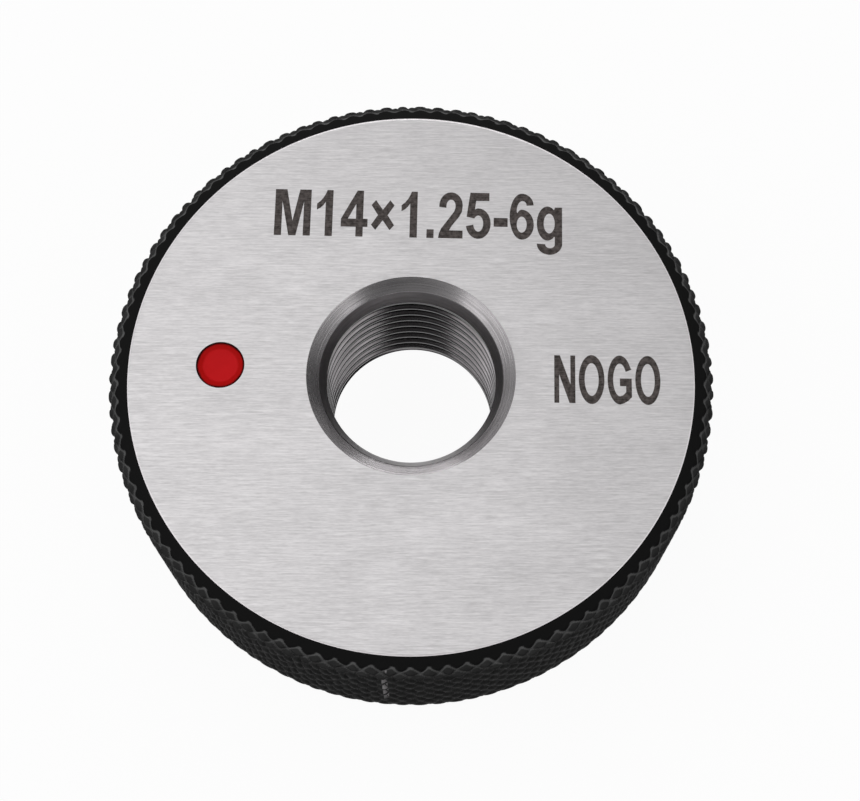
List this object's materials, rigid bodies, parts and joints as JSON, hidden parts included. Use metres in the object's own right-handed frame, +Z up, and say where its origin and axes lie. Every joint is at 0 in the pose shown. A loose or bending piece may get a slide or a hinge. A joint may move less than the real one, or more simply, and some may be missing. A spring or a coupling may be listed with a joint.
{
  "type": "thread ring gauge",
  "caption": "Round steel no-go thread ring gauge with a threaded bore, ground faces, blackened bevels, a diamond-knurled rim and a red enamel spot, for testing an outside thread.",
  "frame": {"origin": "middle of the lower ground face, on which the gauge rests", "axes": "+Z up along the thread axis, out of the marked face; +X to the right as the marking reads; +Y towards the top of the marking"},
  "size_m": [0.045, 0.045, 0.014],
  "materials": {
    "gauge_steel": "hardened steel: both flat faces ground bright with a straight lay, bevels, knurled rim and thread black oxide",
    "red_enamel": "glossy red enamel, dried in the recess"
  },
  "bodies": {
    "root": {"gauge_ring": "gauge_steel", "no_go_mark": "red_enamel"}
  },
  "joints": []
}
